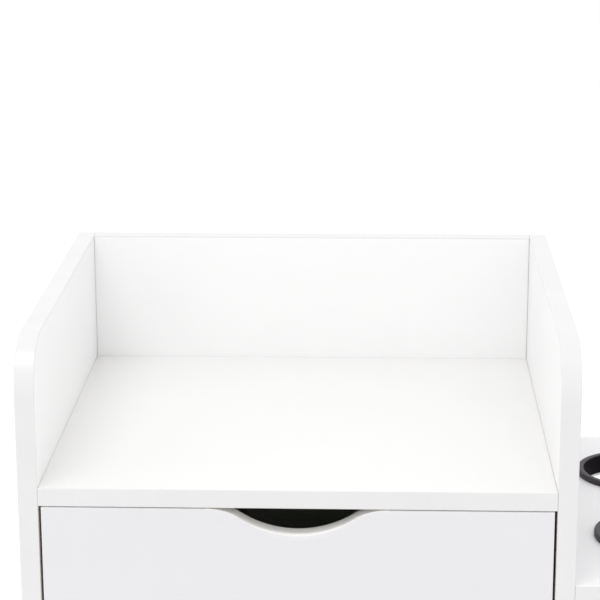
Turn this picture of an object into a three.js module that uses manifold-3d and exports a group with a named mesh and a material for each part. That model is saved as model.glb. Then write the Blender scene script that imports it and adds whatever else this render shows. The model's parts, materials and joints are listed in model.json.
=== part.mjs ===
// Rolling salon trolley: a white board carcass on four swivel castors, an open tray on
// top, three drawers with finger scoops on ball-bearing rails, and a side board that
// carries two black dryer rings.
// Millimetres, +Z up, the front faces -Y. The origin is on the floor, at the middle of
// the overall footprint.
import * as THREE from "three";
import { mergeVertices } from "three/addons/utils/BufferGeometryUtils.js";
import Module from "manifold-3d";

// ---- driving dimensions ----
const board = 15; // carcass and drawer-front board
const thinBoard = 12; // drawer sides and backs
const hardboard = 3; // back panel and drawer bottoms
const fit = 0.3; // gap between pieces that touch
const carcass = { width: 420, depth: 365, height: 850 };
const castorHeight = 70;
const holder = { width: 140, depth: 350, drop: 74 }; // its top face is this far under the tray floor
const tray = { wallHeight: 112, cornerRadius: 42 };
const drawerCount = 3;
const reveal = 2; // gap round each drawer front
const grooveDepth = 6;

// ---- faces of the carcass, worked out from the sizes above ----
const overallWidth = carcass.width + holder.width;
const leftFace = -overallWidth / 2;
const rightFace = leftFace + carcass.width;
const middle = (leftFace + rightFace) / 2;
const innerLeft = leftFace + board;
const innerRight = rightFace - board;
const frontFace = -carcass.depth / 2;
const rearFace = carcass.depth / 2;
const backFace = rearFace - board; // front of the back rail
const shelfTop = carcass.height - tray.wallHeight;
const floorTop = castorHeight + board;

// ---- materials ----
const plain = (color, roughness, metalness = 0) =>
  new THREE.MeshStandardMaterial({ color, roughness, metalness });
const whiteBoard = plain(0xf4f4f3, 0.42);
const drawerBoard = plain(0xe6e4df, 0.45);
const whiteHardboard = plain(0xe9e8e4, 0.55);
const blackPlastic = plain(0x2a282c, 0.45);
const whiteSteel = plain(0xf0f0ef, 0.35, 0.2);
const zincSteel = plain(0xb9bcc0, 0.32, 0.95);
const wheelRubber = plain(0x232325, 0.7);

// ---- small tools ----
const wasm = await Module();
wasm.setup();

const trolley = new THREE.Group();
trolley.name = "salon_trolley";

const addTo = (parent, name, geometry, material) => {
  const mesh = new THREE.Mesh(geometry, material);
  mesh.name = name;
  parent.add(mesh);
  return mesh;
};

// A box between two corners.
function block(x0, x1, y0, y1, z0, z1) {
  const geometry = new THREE.BoxGeometry(x1 - x0, y1 - y0, z1 - z0);
  return geometry.translate((x0 + x1) / 2, (y0 + y1) / 2, (z0 + z1) / 2);
}

const axisX = new THREE.Vector3(1, 0, 0);
const axisY = new THREE.Vector3(0, 1, 0);
const axisZ = new THREE.Vector3(0, 0, 1);

// A shape drawn in (y, z), as thick as x0 to x1.
function plateAcrossX(shape, x0, x1, curveSegments = 8) {
  const geometry = new THREE.ExtrudeGeometry(shape, {
    depth: x1 - x0,
    bevelEnabled: false,
    curveSegments,
  });
  geometry.applyMatrix4(new THREE.Matrix4().makeBasis(axisY, axisZ, axisX));
  return geometry.translate(x0, 0, 0);
}

// A shape drawn in (x, z), as long as y0 to y1.
function barAlongY(shape, y0, y1, curveSegments = 8) {
  const geometry = new THREE.ExtrudeGeometry(shape, {
    depth: y1 - y0,
    bevelEnabled: false,
    curveSegments,
  });
  const turn = new THREE.Matrix4().makeBasis(axisX, axisZ, axisY.clone().negate());
  return geometry.applyMatrix4(turn).translate(0, y1, 0);
}

// A shape drawn in (x, y), as high as z0 to z1.
function slabUpZ(shape, z0, z1, curveSegments = 8) {
  const geometry = new THREE.ExtrudeGeometry(shape, {
    depth: z1 - z0,
    bevelEnabled: false,
    curveSegments,
  });
  return geometry.translate(0, 0, z0);
}

// A round pin along X or Z through a point.
function pinAlongX(radius, x0, x1, y, z, sides = 20) {
  const geometry = new THREE.CylinderGeometry(radius, radius, x1 - x0, sides);
  return geometry.rotateZ(Math.PI / 2).translate((x0 + x1) / 2, y, z);
}

function pinAlongZ(radius, z0, z1, x = 0, y = 0, sides = 20) {
  const geometry = new THREE.CylinderGeometry(radius, radius, z1 - z0, sides);
  return geometry.rotateX(Math.PI / 2).translate(x, y, (z0 + z1) / 2);
}

// Closed geometry to a manifold solid, and back.
function toSolid(geometry) {
  const bare = geometry.clone();
  bare.deleteAttribute("normal");
  bare.deleteAttribute("uv");
  const merged = mergeVertices(bare, 1e-4);
  return new wasm.Manifold(
    new wasm.Mesh({
      numProp: 3,
      vertProperties: merged.attributes.position.array,
      triVerts: new Uint32Array(merged.index.array),
    }),
  );
}

function toGeometry(solid) {
  const made = solid.getMesh();
  const geometry = new THREE.BufferGeometry();
  geometry.setAttribute("position", new THREE.BufferAttribute(made.vertProperties, 3));
  geometry.setIndex(new THREE.BufferAttribute(made.triVerts, 1));
  geometry.computeVertexNormals();
  return geometry;
}

const join = (...pieces) =>
  toGeometry(pieces.map(toSolid).reduce((whole, piece) => whole.add(piece)));
const cut = (body, ...tools) =>
  toGeometry(tools.map(toSolid).reduce((left, tool) => left.subtract(tool), toSolid(body)));

// ---- carcass ----
const grooveWidth = hardboard + 2 * fit;

function sidePanel(x0, grooveSide) {
  const r = tray.cornerRadius;
  const outline = new THREE.Shape();
  outline.moveTo(frontFace, castorHeight);
  outline.lineTo(rearFace, castorHeight);
  outline.lineTo(rearFace, carcass.height);
  outline.lineTo(frontFace + r, carcass.height);
  outline.absarc(frontFace + r, carcass.height - r, r, Math.PI / 2, Math.PI, false);
  outline.closePath();
  const panel = plateAcrossX(outline, x0, x0 + board, 14);
  const inner = grooveSide > 0 ? x0 + board : x0;
  const groove = block(
    Math.min(inner, inner - grooveSide * grooveDepth) - (grooveSide < 0 ? 1 : 0),
    Math.max(inner, inner - grooveSide * grooveDepth) + (grooveSide > 0 ? 1 : 0),
    backFace - fit,
    backFace - fit + grooveWidth,
    castorHeight - 1,
    shelfTop - board,
  );
  return cut(panel, groove);
}

function addCarcass() {
  const inside = [innerLeft + fit, innerRight - fit];
  addTo(trolley, "side_panel_left", sidePanel(leftFace, 1), whiteBoard);
  addTo(trolley, "side_panel_right", sidePanel(innerRight, -1), whiteBoard);
  addTo(
    trolley,
    "top_shelf",
    block(...inside, frontFace, backFace - fit, shelfTop - board, shelfTop),
    whiteBoard,
  );
  addTo(
    trolley,
    "bottom_board",
    block(...inside, frontFace, backFace - fit, castorHeight, floorTop),
    whiteBoard,
  );
  addTo(
    trolley,
    "back_rail",
    block(...inside, backFace, rearFace, shelfTop - board, carcass.height),
    whiteBoard,
  );
  const reach = grooveDepth - fit; // how far the back panel goes into each groove
  addTo(
    trolley,
    "back_panel",
    block(
      innerLeft - reach,
      innerRight + reach,
      backFace,
      backFace + hardboard,
      castorHeight,
      shelfTop - board - fit,
    ),
    whiteHardboard,
  );
}

// ---- side board with its dryer rings ----
const ring = {
  bore: 40, // inner radius
  flange: 45.8,
  lip: 4.6, // height of the flange over the board
  sleeve: 41.8, // outer radius of the sleeve in the board
  sleeveDepth: 12,
  firstSetback: 104, // front ring's centre from the board's front edge
  spacing: 150,
};
const bracket = { arm: 112, leg: 78, wide: 30, steel: 2.5, bend: 5 };
const holderTop = shelfTop - holder.drop;
const holderX = rightFace + holder.width / 2;
const ringY = [0, 1].map((i) => frontFace + ring.firstSetback + i * ring.spacing);

function holderBoard() {
  const x0 = rightFace + fit;
  const x1 = rightFace + holder.width;
  const y1 = frontFace + holder.depth;
  const r = 18; // outer corners
  const outline = new THREE.Shape();
  outline.moveTo(x0, frontFace);
  outline.lineTo(x1 - r, frontFace);
  outline.absarc(x1 - r, frontFace + r, r, -Math.PI / 2, 0, false);
  outline.lineTo(x1, y1 - r);
  outline.absarc(x1 - r, y1 - r, r, 0, Math.PI / 2, false);
  outline.lineTo(x0, y1);
  outline.closePath();
  for (const y of ringY) {
    const hole = new THREE.Path();
    hole.absarc(holderX, y, ring.sleeve + fit, 0, 2 * Math.PI, true);
    outline.holes.push(hole);
  }
  return slabUpZ(outline, holderTop - board, holderTop, 20);
}

function dryerRing(y) {
  const flangeFoot = fit; // the flange rests on the board
  const profile = [
    [ring.bore, -ring.sleeveDepth],
    [ring.sleeve, -ring.sleeveDepth],
    [ring.sleeve, flangeFoot],
    [ring.flange, flangeFoot],
    [ring.flange, ring.lip - 1.5],
    [ring.flange - 1.2, ring.lip],
    [ring.bore + 1, ring.lip],
    [ring.bore, ring.lip - 1],
    [ring.bore, -ring.sleeveDepth],
  ].map(([radius, z]) => new THREE.Vector2(radius, z));
  const geometry = new THREE.LatheGeometry(profile, 40);
  return geometry.rotateX(Math.PI / 2).translate(holderX, y, holderTop);
}

function holderBracket(yMiddle) {
  const x0 = rightFace + fit;
  const z1 = holderTop - board - fit;
  const { arm, leg, steel, bend, wide } = bracket;
  const outline = new THREE.Shape();
  outline.moveTo(x0, z1 - leg);
  outline.lineTo(x0 + steel, z1 - leg);
  outline.lineTo(x0 + steel, z1 - bend);
  outline.absarc(x0 + bend, z1 - bend, bend - steel, Math.PI, Math.PI / 2, true);
  outline.lineTo(x0 + arm, z1 - steel);
  outline.lineTo(x0 + arm, z1);
  outline.lineTo(x0 + bend, z1);
  outline.absarc(x0 + bend, z1 - bend, bend, Math.PI / 2, Math.PI, false);
  outline.closePath();
  return barAlongY(outline, yMiddle - wide / 2, yMiddle + wide / 2, 5);
}

function addHolder() {
  addTo(trolley, "holder_board", holderBoard(), whiteBoard);
  addTo(trolley, "dryer_ring_front", dryerRing(ringY[0]), blackPlastic);
  addTo(trolley, "dryer_ring_rear", dryerRing(ringY[1]), blackPlastic);
  const clearOfRings = 30; // bracket's middle from each end of the board
  const rearBracket = frontFace + holder.depth - clearOfRings;
  addTo(trolley, "holder_bracket_front", holderBracket(frontFace + clearOfRings), whiteSteel);
  addTo(trolley, "holder_bracket_rear", holderBracket(rearBracket), whiteSteel);
}

// ---- drawers ----
const scoop = { depth: 18.5, bowl: 78.5, shoulder: 48.4 }; // depth, and the radii of its three arcs
const box = { length: 310, height: 150, lift: 20, bottomLift: 8 };
const rail = { length: 300, lift: 75, start: 2.5, room: 13 }; // room between drawer and side panel
const opening = shelfTop - board - floorTop;
const frontHeight = (opening - (drawerCount + 1) * reveal) / drawerCount;
const drawerNames = ["bottom", "middle", "top"]; // from the floor up

function drawerFront(z0) {
  const x0 = innerLeft + reveal;
  const x1 = innerRight - reveal;
  const z1 = z0 + frontHeight;
  const radii = scoop.bowl + scoop.shoulder;
  const halfWidth = Math.sqrt(radii ** 2 - (radii - scoop.depth) ** 2);
  const tilt = Math.asin(halfWidth / radii); // where a shoulder meets the bowl
  const outline = new THREE.Shape();
  outline.moveTo(x0, z0);
  outline.lineTo(x1, z0);
  outline.lineTo(x1, z1);
  outline.lineTo(middle + halfWidth, z1);
  const shoulderZ = z1 - scoop.shoulder;
  const up = Math.PI / 2;
  outline.absarc(middle + halfWidth, shoulderZ, scoop.shoulder, up, up + tilt, false);
  const bowlZ = z1 - scoop.depth + scoop.bowl;
  outline.absarc(middle, bowlZ, scoop.bowl, tilt - up, -up - tilt, true);
  outline.absarc(middle - halfWidth, shoulderZ, scoop.shoulder, up - tilt, up, false);
  outline.lineTo(x0, z1);
  outline.closePath();
  return barAlongY(outline, frontFace, frontFace + board, 10);
}

// The rail fixed to the cabinet: a channel that opens towards the drawer.
function cabinetRail(wallX, inward, z, y0) {
  const steel = 1.2;
  const half = 17.5;
  const at = (x) => wallX + inward * x;
  const outline = new THREE.Shape(
    [
      [fit, -half],
      [9.7, -half],
      [9.7, -half + 2.7],
      [9.7 - steel, -half + 2.7],
      [9.7 - steel, -half + steel],
      [fit + steel, -half + steel],
      [fit + steel, half - steel],
      [9.7 - steel, half - steel],
      [9.7 - steel, half - 2.7],
      [9.7, half - 2.7],
      [9.7, half],
      [fit, half],
    ].map(([x, up]) => new THREE.Vector2(at(x), z + up)),
  );
  return barAlongY(outline, y0, y0 + rail.length);
}

// The rail fixed to the drawer: a smaller channel that runs inside the cabinet's.
function drawerRail(wallX, inward, z, y0) {
  const steel = 1.2;
  const half = 12.6;
  const back = rail.room - fit;
  const at = (x) => wallX + inward * x;
  const outline = new THREE.Shape(
    [
      [back, -half],
      [back, half],
      [4.2, half],
      [4.2, half - steel],
      [back - steel, half - steel],
      [back - steel, -half + steel],
      [4.2, -half + steel],
      [4.2, -half],
    ].map(([x, up]) => new THREE.Vector2(at(x), z + up)),
  );
  return barAlongY(outline, y0, y0 + rail.length);
}

function drawerSide(outerX, inward, z0, y0) {
  const innerX = outerX + inward * thinBoard;
  const side = block(
    Math.min(outerX, innerX),
    Math.max(outerX, innerX),
    y0,
    y0 + box.length,
    z0,
    z0 + box.height,
  );
  const bottomOfGroove = z0 + box.bottomLift - fit;
  const groove = block(
    Math.min(innerX + inward, innerX - inward * grooveDepth),
    Math.max(innerX + inward, innerX - inward * grooveDepth),
    y0 - 1,
    y0 + box.length + 1,
    bottomOfGroove,
    bottomOfGroove + grooveWidth,
  );
  return cut(side, groove);
}

function addDrawer(name, z0) {
  const y0 = frontFace + board + fit;
  const boxZ = z0 + box.lift;
  const outerLeft = innerLeft + rail.room;
  const outerRight = innerRight - rail.room;
  const railZ = z0 + rail.lift;
  const railY = frontFace + board + rail.start;
  const insideLeft = outerLeft + thinBoard;
  const insideRight = outerRight - thinBoard;
  const bottomZ = boxZ + box.bottomLift;
  const reach = grooveDepth - fit;
  const sideLeft = drawerSide(outerLeft, 1, boxZ, y0);
  const sideRight = drawerSide(outerRight, -1, boxZ, y0);
  addTo(trolley, `drawer_${name}_front`, drawerFront(z0), whiteBoard);
  addTo(trolley, `drawer_${name}_side_left`, sideLeft, drawerBoard);
  addTo(trolley, `drawer_${name}_side_right`, sideRight, drawerBoard);
  addTo(
    trolley,
    `drawer_${name}_back`,
    block(
      insideLeft + fit,
      insideRight - fit,
      y0 + box.length - thinBoard,
      y0 + box.length,
      bottomZ + hardboard + fit,
      boxZ + box.height,
    ),
    drawerBoard,
  );
  addTo(
    trolley,
    `drawer_${name}_bottom`,
    block(
      insideLeft - reach,
      insideRight + reach,
      y0,
      y0 + box.length,
      bottomZ,
      bottomZ + hardboard,
    ),
    drawerBoard,
  );
  for (const [side, wallX, inward] of [
    ["left", innerLeft, 1],
    ["right", innerRight, -1],
  ]) {
    const fixed = cabinetRail(wallX, inward, railZ, railY);
    const moving = drawerRail(wallX, inward, railZ, railY);
    addTo(trolley, `cabinet_rail_${name}_${side}`, fixed, zincSteel);
    addTo(trolley, `drawer_${name}_rail_${side}`, moving, zincSteel);
  }
}

function addDrawers() {
  drawerNames.forEach((name, i) => {
    addDrawer(name, floorTop + reveal + i * (frontHeight + reveal));
  });
}

// ---- castors, each drawn round its own swivel axis, with the wheel trailing to -Y ----
const wheel = { radius: 25, width: 20, hubWidth: 23, trail: 20 };
const axleRadius = 3;
const kingpin = { radius: 4, headRadius: 7 };
const crown = { bottom: 58.5, steel: 2.5, front: 14, rear: -16, raceRadius: 14 };
const forkLeg = { inner: 12.6, steel: 2.2, eye: 8 };
const brakePin = { y: -38, z: 50, radius: 2.2 };
const plate = { x: 60, y: 45, steel: 2.5, corner: 6, slotX: 46, slotY: 31, slotRadius: 2.8 };
const crownTop = crown.bottom + crown.steel;
const plateTop = castorHeight - fit;

function roundedSlot(x, y, reach, r) {
  const slot = new THREE.Path();
  slot.absarc(x + reach, y, r, -Math.PI / 2, Math.PI / 2, false);
  slot.absarc(x - reach, y, r, Math.PI / 2, (3 * Math.PI) / 2, false);
  slot.closePath();
  return slot;
}

function castorPlate() {
  const { x, y, corner } = plate;
  const outline = new THREE.Shape();
  outline.absarc(x / 2 - corner, y / 2 - corner, corner, 0, Math.PI / 2, false);
  outline.absarc(corner - x / 2, y / 2 - corner, corner, Math.PI / 2, Math.PI, false);
  outline.absarc(corner - x / 2, corner - y / 2, corner, Math.PI, (3 * Math.PI) / 2, false);
  outline.absarc(x / 2 - corner, corner - y / 2, corner, -Math.PI / 2, 0, false);
  outline.closePath();
  for (const sx of [-1, 1]) {
    for (const sy of [-1, 1]) {
      const slotX = (sx * plate.slotX) / 2;
      const slotY = (sy * plate.slotY) / 2;
      outline.holes.push(roundedSlot(slotX, slotY, 1.8, plate.slotRadius));
    }
  }
  const plateFoot = plateTop - plate.steel;
  const race = pinAlongZ(crown.raceRadius, crownTop + 1.5 + fit, plateFoot + 0.5, 0, 0, 28);
  const headTop = crown.bottom - fit;
  const pin = pinAlongZ(kingpin.radius, headTop - 1, plateFoot + 0.5);
  const head = pinAlongZ(kingpin.headRadius, headTop - 3, headTop);
  return join(slabUpZ(outline, plateFoot, plateTop, 4), race, pin, head);
}

// The angle, seen from a circle's centre, where a line from a point touches the circle.
function tangentAngle(centreY, centreZ, r, y, z, side) {
  const towards = Math.atan2(z - centreZ, y - centreY);
  return towards + side * Math.acos(r / Math.hypot(y - centreY, z - centreZ));
}

function castorFork(hasBrake) {
  const axleY = -wheel.trail;
  const axleZ = wheel.radius;
  const frontStep = crown.bottom - 4;
  const eye = forkLeg.eye;
  const down = tangentAngle(axleY, axleZ, eye, crown.front, frontStep, -1);
  const up = tangentAngle(axleY, axleZ, eye, crown.rear, crownTop, 1) - 2 * Math.PI;
  const outline = new THREE.Shape();
  outline.moveTo(crown.rear, crownTop);
  outline.lineTo(crown.front, crownTop);
  outline.lineTo(crown.front, frontStep);
  outline.absarc(axleY, axleZ, eye, down, up, true);
  outline.closePath();
  const lobe = new THREE.Shape(); // carries the brake pin
  const lobeRadius = 4.8;
  const lean = Math.atan2(brakePin.z - crown.bottom, brakePin.y - crown.rear);
  lobe.absarc(brakePin.y, brakePin.z, lobeRadius, lean - Math.PI / 2, lean + Math.PI / 2, false);
  lobe.lineTo(crown.rear + 6, crown.bottom - 14);
  lobe.lineTo(crown.rear + 6, crownTop);
  lobe.closePath();
  const outer = forkLeg.inner + forkLeg.steel;
  const pieces = [block(-outer, outer, crown.rear, crown.front, crown.bottom, crownTop)];
  for (const x0 of [-outer, forkLeg.inner]) {
    pieces.push(plateAcrossX(outline, x0, x0 + forkLeg.steel, 8));
    if (hasBrake) pieces.push(plateAcrossX(lobe, x0, x0 + forkLeg.steel, 6));
  }
  pieces.push(pinAlongZ(crown.raceRadius - 1, crown.bottom, crownTop + 1.5, 0, 0, 28));
  const holes = [
    pinAlongZ(kingpin.radius + 0.6, crown.bottom - 1, crownTop + 3, 0, 0),
    pinAlongX(axleRadius + 0.4, -outer - 1, outer + 1, axleY, axleZ),
  ];
  if (hasBrake) {
    const eyeRadius = brakePin.radius + 0.4;
    holes.push(pinAlongX(eyeRadius, -outer - 1, outer + 1, brakePin.y, brakePin.z, 14));
  }
  return cut(join(...pieces), ...holes);
}

function castorWheel() {
  const bore = axleRadius + 0.4;
  const half = wheel.width / 2;
  const hub = wheel.hubWidth / 2;
  const sides = 32;
  const r = wheel.radius / Math.cos(Math.PI / sides); // so that a flat side stands on the floor
  const profile = [
    [bore, -hub],
    [7, -hub],
    [8.5, -half + 2],
    [17.5, -half + 2],
    [18.5, -half],
    [r - 3.5, -half],
    [r - 1, -half + 1.6],
    [r, -half + 5],
    [r, half - 5],
    [r - 1, half - 1.6],
    [r - 3.5, half],
    [18.5, half],
    [17.5, half - 2],
    [8.5, half - 2],
    [7, hub],
    [bore, hub],
    [bore, -hub],
  ].map(([radius, x]) => new THREE.Vector2(radius, x));
  const geometry = new THREE.LatheGeometry(profile, sides);
  geometry.rotateZ(-Math.PI / 2).rotateX(Math.PI / sides);
  return geometry.translate(0, -wheel.trail, wheel.radius);
}

function castorAxle() {
  const face = forkLeg.inner + forkLeg.steel + fit;
  const y = -wheel.trail;
  const z = wheel.radius;
  return join(
    pinAlongX(axleRadius, -face - 4, face + 2, y, z, 16),
    pinAlongX(5.4, face, face + 3.6, y, z, 6),
    pinAlongX(5.4, -face - 4.6, -face, y, z, 6),
  );
}

function castorBrake() {
  const { y, z } = brakePin;
  const hubRadius = 4.2;
  const arm = new THREE.Shape(); // hub, and the arm back to the pedal
  arm.absarc(y, z, hubRadius, -Math.PI / 2, Math.PI / 3, false);
  arm.lineTo(y - 5, z + 7);
  arm.lineTo(y - 17, z + 8);
  arm.lineTo(y - 17, z + 5.5);
  arm.lineTo(y - 6.5, z + 3);
  arm.closePath();
  const shoe = new THREE.Shape(); // the toe that presses on the tread
  shoe.moveTo(y - 2.5, z - 1);
  shoe.absarc(y - 4.2, z - 7, 1.5, Math.PI, 2 * Math.PI, false);
  shoe.lineTo(y + 1.5, z - 1);
  shoe.closePath();
  const pedal = block(-14, 14, y - 17, y - 7, z + 5.6, z + 8);
  const reach = forkLeg.inner + forkLeg.steel + 1.2;
  return join(
    plateAcrossX(arm, -11.4, 11.4, 8),
    plateAcrossX(shoe, -9, 9, 6),
    pedal,
    pinAlongX(brakePin.radius, -reach, reach, y, z, 14),
  );
}

function addCastor(name, x, y, hasBrake) {
  const castor = new THREE.Group();
  castor.position.set(x, y, 0);
  trolley.add(castor);
  addTo(castor, `castor_${name}_plate`, castorPlate(), zincSteel);
  addTo(castor, `castor_${name}_fork`, castorFork(hasBrake), zincSteel);
  addTo(castor, `castor_${name}_wheel`, castorWheel(), wheelRubber);
  addTo(castor, `castor_${name}_axle`, castorAxle(), zincSteel);
  if (hasBrake) addTo(castor, `castor_${name}_brake`, castorBrake(), blackPlastic);
}

function addCastors() {
  const inset = { side: 50, front: 56, rear: 50 }; // swivel axis from the carcass faces
  const leftX = leftFace + inset.side;
  const rightX = rightFace - inset.side;
  addCastor("front_left", leftX, frontFace + inset.front, true);
  addCastor("front_right", rightX, frontFace + inset.front, true);
  addCastor("rear_left", leftX, rearFace - inset.rear, false);
  addCastor("rear_right", rightX, rearFace - inset.rear, false);
}

addCarcass();
addHolder();
addDrawers();
addCastors();

export default trolley;
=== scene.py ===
import json
import math

import bmesh
import bpy
from mathutils import Matrix, Vector


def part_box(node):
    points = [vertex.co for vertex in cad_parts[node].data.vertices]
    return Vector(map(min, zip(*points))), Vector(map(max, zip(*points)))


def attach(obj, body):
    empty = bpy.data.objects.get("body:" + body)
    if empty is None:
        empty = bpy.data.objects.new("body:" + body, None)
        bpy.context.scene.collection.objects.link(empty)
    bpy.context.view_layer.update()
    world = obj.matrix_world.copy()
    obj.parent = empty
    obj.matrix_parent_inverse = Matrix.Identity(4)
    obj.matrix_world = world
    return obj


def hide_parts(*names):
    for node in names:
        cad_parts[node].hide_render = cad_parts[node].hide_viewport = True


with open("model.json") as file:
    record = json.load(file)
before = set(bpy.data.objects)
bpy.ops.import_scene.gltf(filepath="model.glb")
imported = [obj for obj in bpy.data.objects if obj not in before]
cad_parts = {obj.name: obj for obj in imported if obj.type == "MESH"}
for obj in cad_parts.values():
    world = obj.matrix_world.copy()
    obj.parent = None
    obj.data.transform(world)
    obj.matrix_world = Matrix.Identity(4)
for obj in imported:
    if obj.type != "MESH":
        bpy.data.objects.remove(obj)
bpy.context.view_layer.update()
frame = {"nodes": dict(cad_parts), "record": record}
scene = bpy.context.scene
nodes = frame["nodes"]
bodies = frame["record"]["behaviour"]["bodies"]
bodyOf = {node: body for body, members in bodies.items() for node in members}
castorNames = sorted(b[len("castor_"):-len("_swivel")] for b in bodies if b.endswith("_swivel"))
drawerNames = [n for n in ("top", "middle", "bottom") if f"drawer_{n}" in bodies]
shelfLow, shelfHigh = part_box("top_shelf")
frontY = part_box("side_panel_left")[0].y
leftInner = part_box("side_panel_left")[1].x
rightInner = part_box("side_panel_right")[0].x
middleX = (leftInner + rightInner) / 2
axisX, axisY, axisZ = Vector((1, 0, 0)), Vector((0, 1, 0)), Vector((0, 0, 1))

# camera, floor and light

view = {
    "fromShelfEdge": (0.0574, -1.4789, 0.5459),  # camera, seen from the middle of the shelf's front edge
    "turnLeft": 2.11,
    "lookDown": 15.05,
    "lean": 0.16,
    "lens": 126.08,
}
studio = {
    "floor": (0.95, 0.95, 0.95),
    "floorRadius": 40,
    "world": 1.07,
    "key": 14,  # watts
    "keyPlace": (-0.75, -1.1, 3.1),
    "keySize": 1.4,
}


def addCamera():
    camera = bpy.data.objects.new("camera", bpy.data.cameras.new("camera"))
    scene.collection.objects.link(camera)
    edge = Vector((middleX, frontY, shelfHigh.z))
    camera.data.lens = view["lens"]
    camera.data.sensor_width = 36
    camera.data.clip_start, camera.data.clip_end = 0.05, 100
    turn = Matrix.Rotation(math.radians(view["turnLeft"]), 4, "Z")
    tip = Matrix.Rotation(math.radians(90 - view["lookDown"]), 4, "X")
    lean = Matrix.Rotation(math.radians(-view["lean"]), 4, "Z")
    place = Matrix.Translation(edge + Vector(view["fromShelfEdge"]))
    camera.matrix_world = place @ turn @ tip @ lean
    scene.camera = camera
    print("camera placed")


def addAreaLight(name, watts, place, size, target):
    light = bpy.data.objects.new(name, bpy.data.lights.new(name, "AREA"))
    scene.collection.objects.link(light)
    light.data.energy = watts
    light.data.shape = "DISK"
    light.data.size = size
    light.visible_camera = False
    light.location = place
    light.rotation_euler = (Vector(target) - Vector(place)).to_track_quat("-Z", "Y").to_euler()


def addStudio():
    world = bpy.data.worlds.new("studio")
    scene.world = world
    world.use_nodes = True
    sky = world.node_tree.nodes["Background"]
    sky.inputs["Color"].default_value = (1, 1, 1, 1)
    sky.inputs["Strength"].default_value = studio["world"]
    addAreaLight("key", studio["key"], studio["keyPlace"], studio["keySize"], (middleX, 0, shelfHigh.z))
    bm = bmesh.new()
    bmesh.ops.create_circle(bm, cap_ends=True, segments=96, radius=studio["floorRadius"])
    mesh = keptMesh(bm, "floor")
    floor = bpy.data.objects.new("floor", mesh)
    scene.collection.objects.link(floor)
    paper = bpy.data.materials.new("floorPaper")
    paper.use_nodes = True
    shader = paper.node_tree.nodes["Principled BSDF"]
    shader.inputs["Base Color"].default_value = (*studio["floor"], 1)
    shader.inputs["Roughness"].default_value = 0.9
    shader.inputs["Specular IOR Level"].default_value = 0.1
    mesh.materials.append(paper)
    scene.view_settings.view_transform = "Standard"
    scene.view_settings.look = "None"
    print("studio set")


# shader tools


class Signal:  # a socket that can stand in a sum
    def __init__(self, paint, socket):
        self.paint = paint
        self.socket = socket

    def math(self, operation, first, second):
        return self.paint.node("ShaderNodeMath", {"operation": operation}, {0: first, 1: second})

    def __add__(self, other):
        return self.math("ADD", self, other)

    __radd__ = __add__

    def __mul__(self, other):
        return self.math("MULTIPLY", self, other)

    __rmul__ = __mul__


class Paint:  # one material and its nodes
    def __init__(self, name, **fixed):
        self.material = bpy.data.materials.new(name)
        self.material.use_nodes = True
        self.tree = self.material.node_tree
        self.shader = self.tree.nodes["Principled BSDF"]
        for socket, value in fixed.items():
            self.shader.inputs[socket.replace("_", " ")].default_value = value
        self.place = self.node("ShaderNodeTexCoord", {}, {}, "Object")

    def node(self, kind, settings, inputs, output=0):
        made = self.tree.nodes.new(kind)
        for key, value in settings.items():
            setattr(made, key, value)
        for key, value in inputs.items():
            if isinstance(value, Signal):
                self.tree.links.new(value.socket, made.inputs[key])
            else:
                made.inputs[key].default_value = value
        return Signal(self, made.outputs[output])

    def noise(self, size, detail=3.0, roughness=0.5, stretch=(1, 1, 1)):  # size is a grain's, in metres
        place = self.place
        if stretch != (1, 1, 1):
            place = self.node("ShaderNodeMapping", {}, {"Vector": place, "Scale": stretch})
        grain = {"Vector": place, "Scale": 1 / size, "Detail": detail, "Roughness": roughness}
        return self.node("ShaderNodeTexNoise", {}, grain)

    def cells(self, size, feature="F1"):
        grain = {"Vector": self.place, "Scale": 1 / size}
        return self.node("ShaderNodeTexVoronoi", {"feature": feature}, grain)

    def between(self, value, low, high, toLow=0.0, toHigh=1.0):
        ends = {"Value": value, "From Min": low, "From Max": high, "To Min": toLow, "To Max": toHigh}
        return self.node("ShaderNodeMapRange", {"clamp": True}, ends)

    def mix(self, share, first, second):
        ends = [c if isinstance(c, Signal) else (*c, 1) for c in (first, second)]
        inputs = {0: share, 6: ends[0], 7: ends[1]}
        return self.node("ShaderNodeMix", {"data_type": "RGBA"}, inputs, 2)

    def colour(self, signal):
        self.tree.links.new(signal.socket, self.shader.inputs["Base Color"])

    def rough(self, signal):
        self.tree.links.new(signal.socket, self.shader.inputs["Roughness"])

    def bump(self, height, depth, strength=1.0):  # depth is in metres
        settings = {"Height": height, "Distance": depth, "Strength": strength}
        normal = self.node("ShaderNodeBump", {}, settings)
        self.tree.links.new(normal.socket, self.shader.inputs["Normal"])


def tinted(colour, factor):
    return tuple(min(1.0, c * factor) for c in colour)


# finishes


def melamine(name, colour):  # pressed foil with a fine pearl grain
    paint = Paint(name, IOR=1.5)
    cloud = paint.noise(0.16, 4, 0.55)
    grain = paint.noise(0.0007, 2, 0.6)
    wipes = paint.noise(0.05, 3, 0.5, stretch=(1, 0.3, 1))
    tone = paint.mix(paint.between(cloud, 0.3, 0.7), tinted(colour, 0.985), tinted(colour, 1.008))
    paint.colour(paint.mix(paint.between(grain, 0.35, 0.75) * 0.25, tone, tinted(colour, 0.965)))
    sheen = paint.between(grain, 0.3, 0.7, -0.05, 0.05)
    paint.rough(0.42 + sheen + paint.between(wipes, 0.5, 0.75, 0, 0.07))
    paint.bump(grain + cloud * 0.4, 0.00003, 0.55)
    return paint.material


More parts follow.
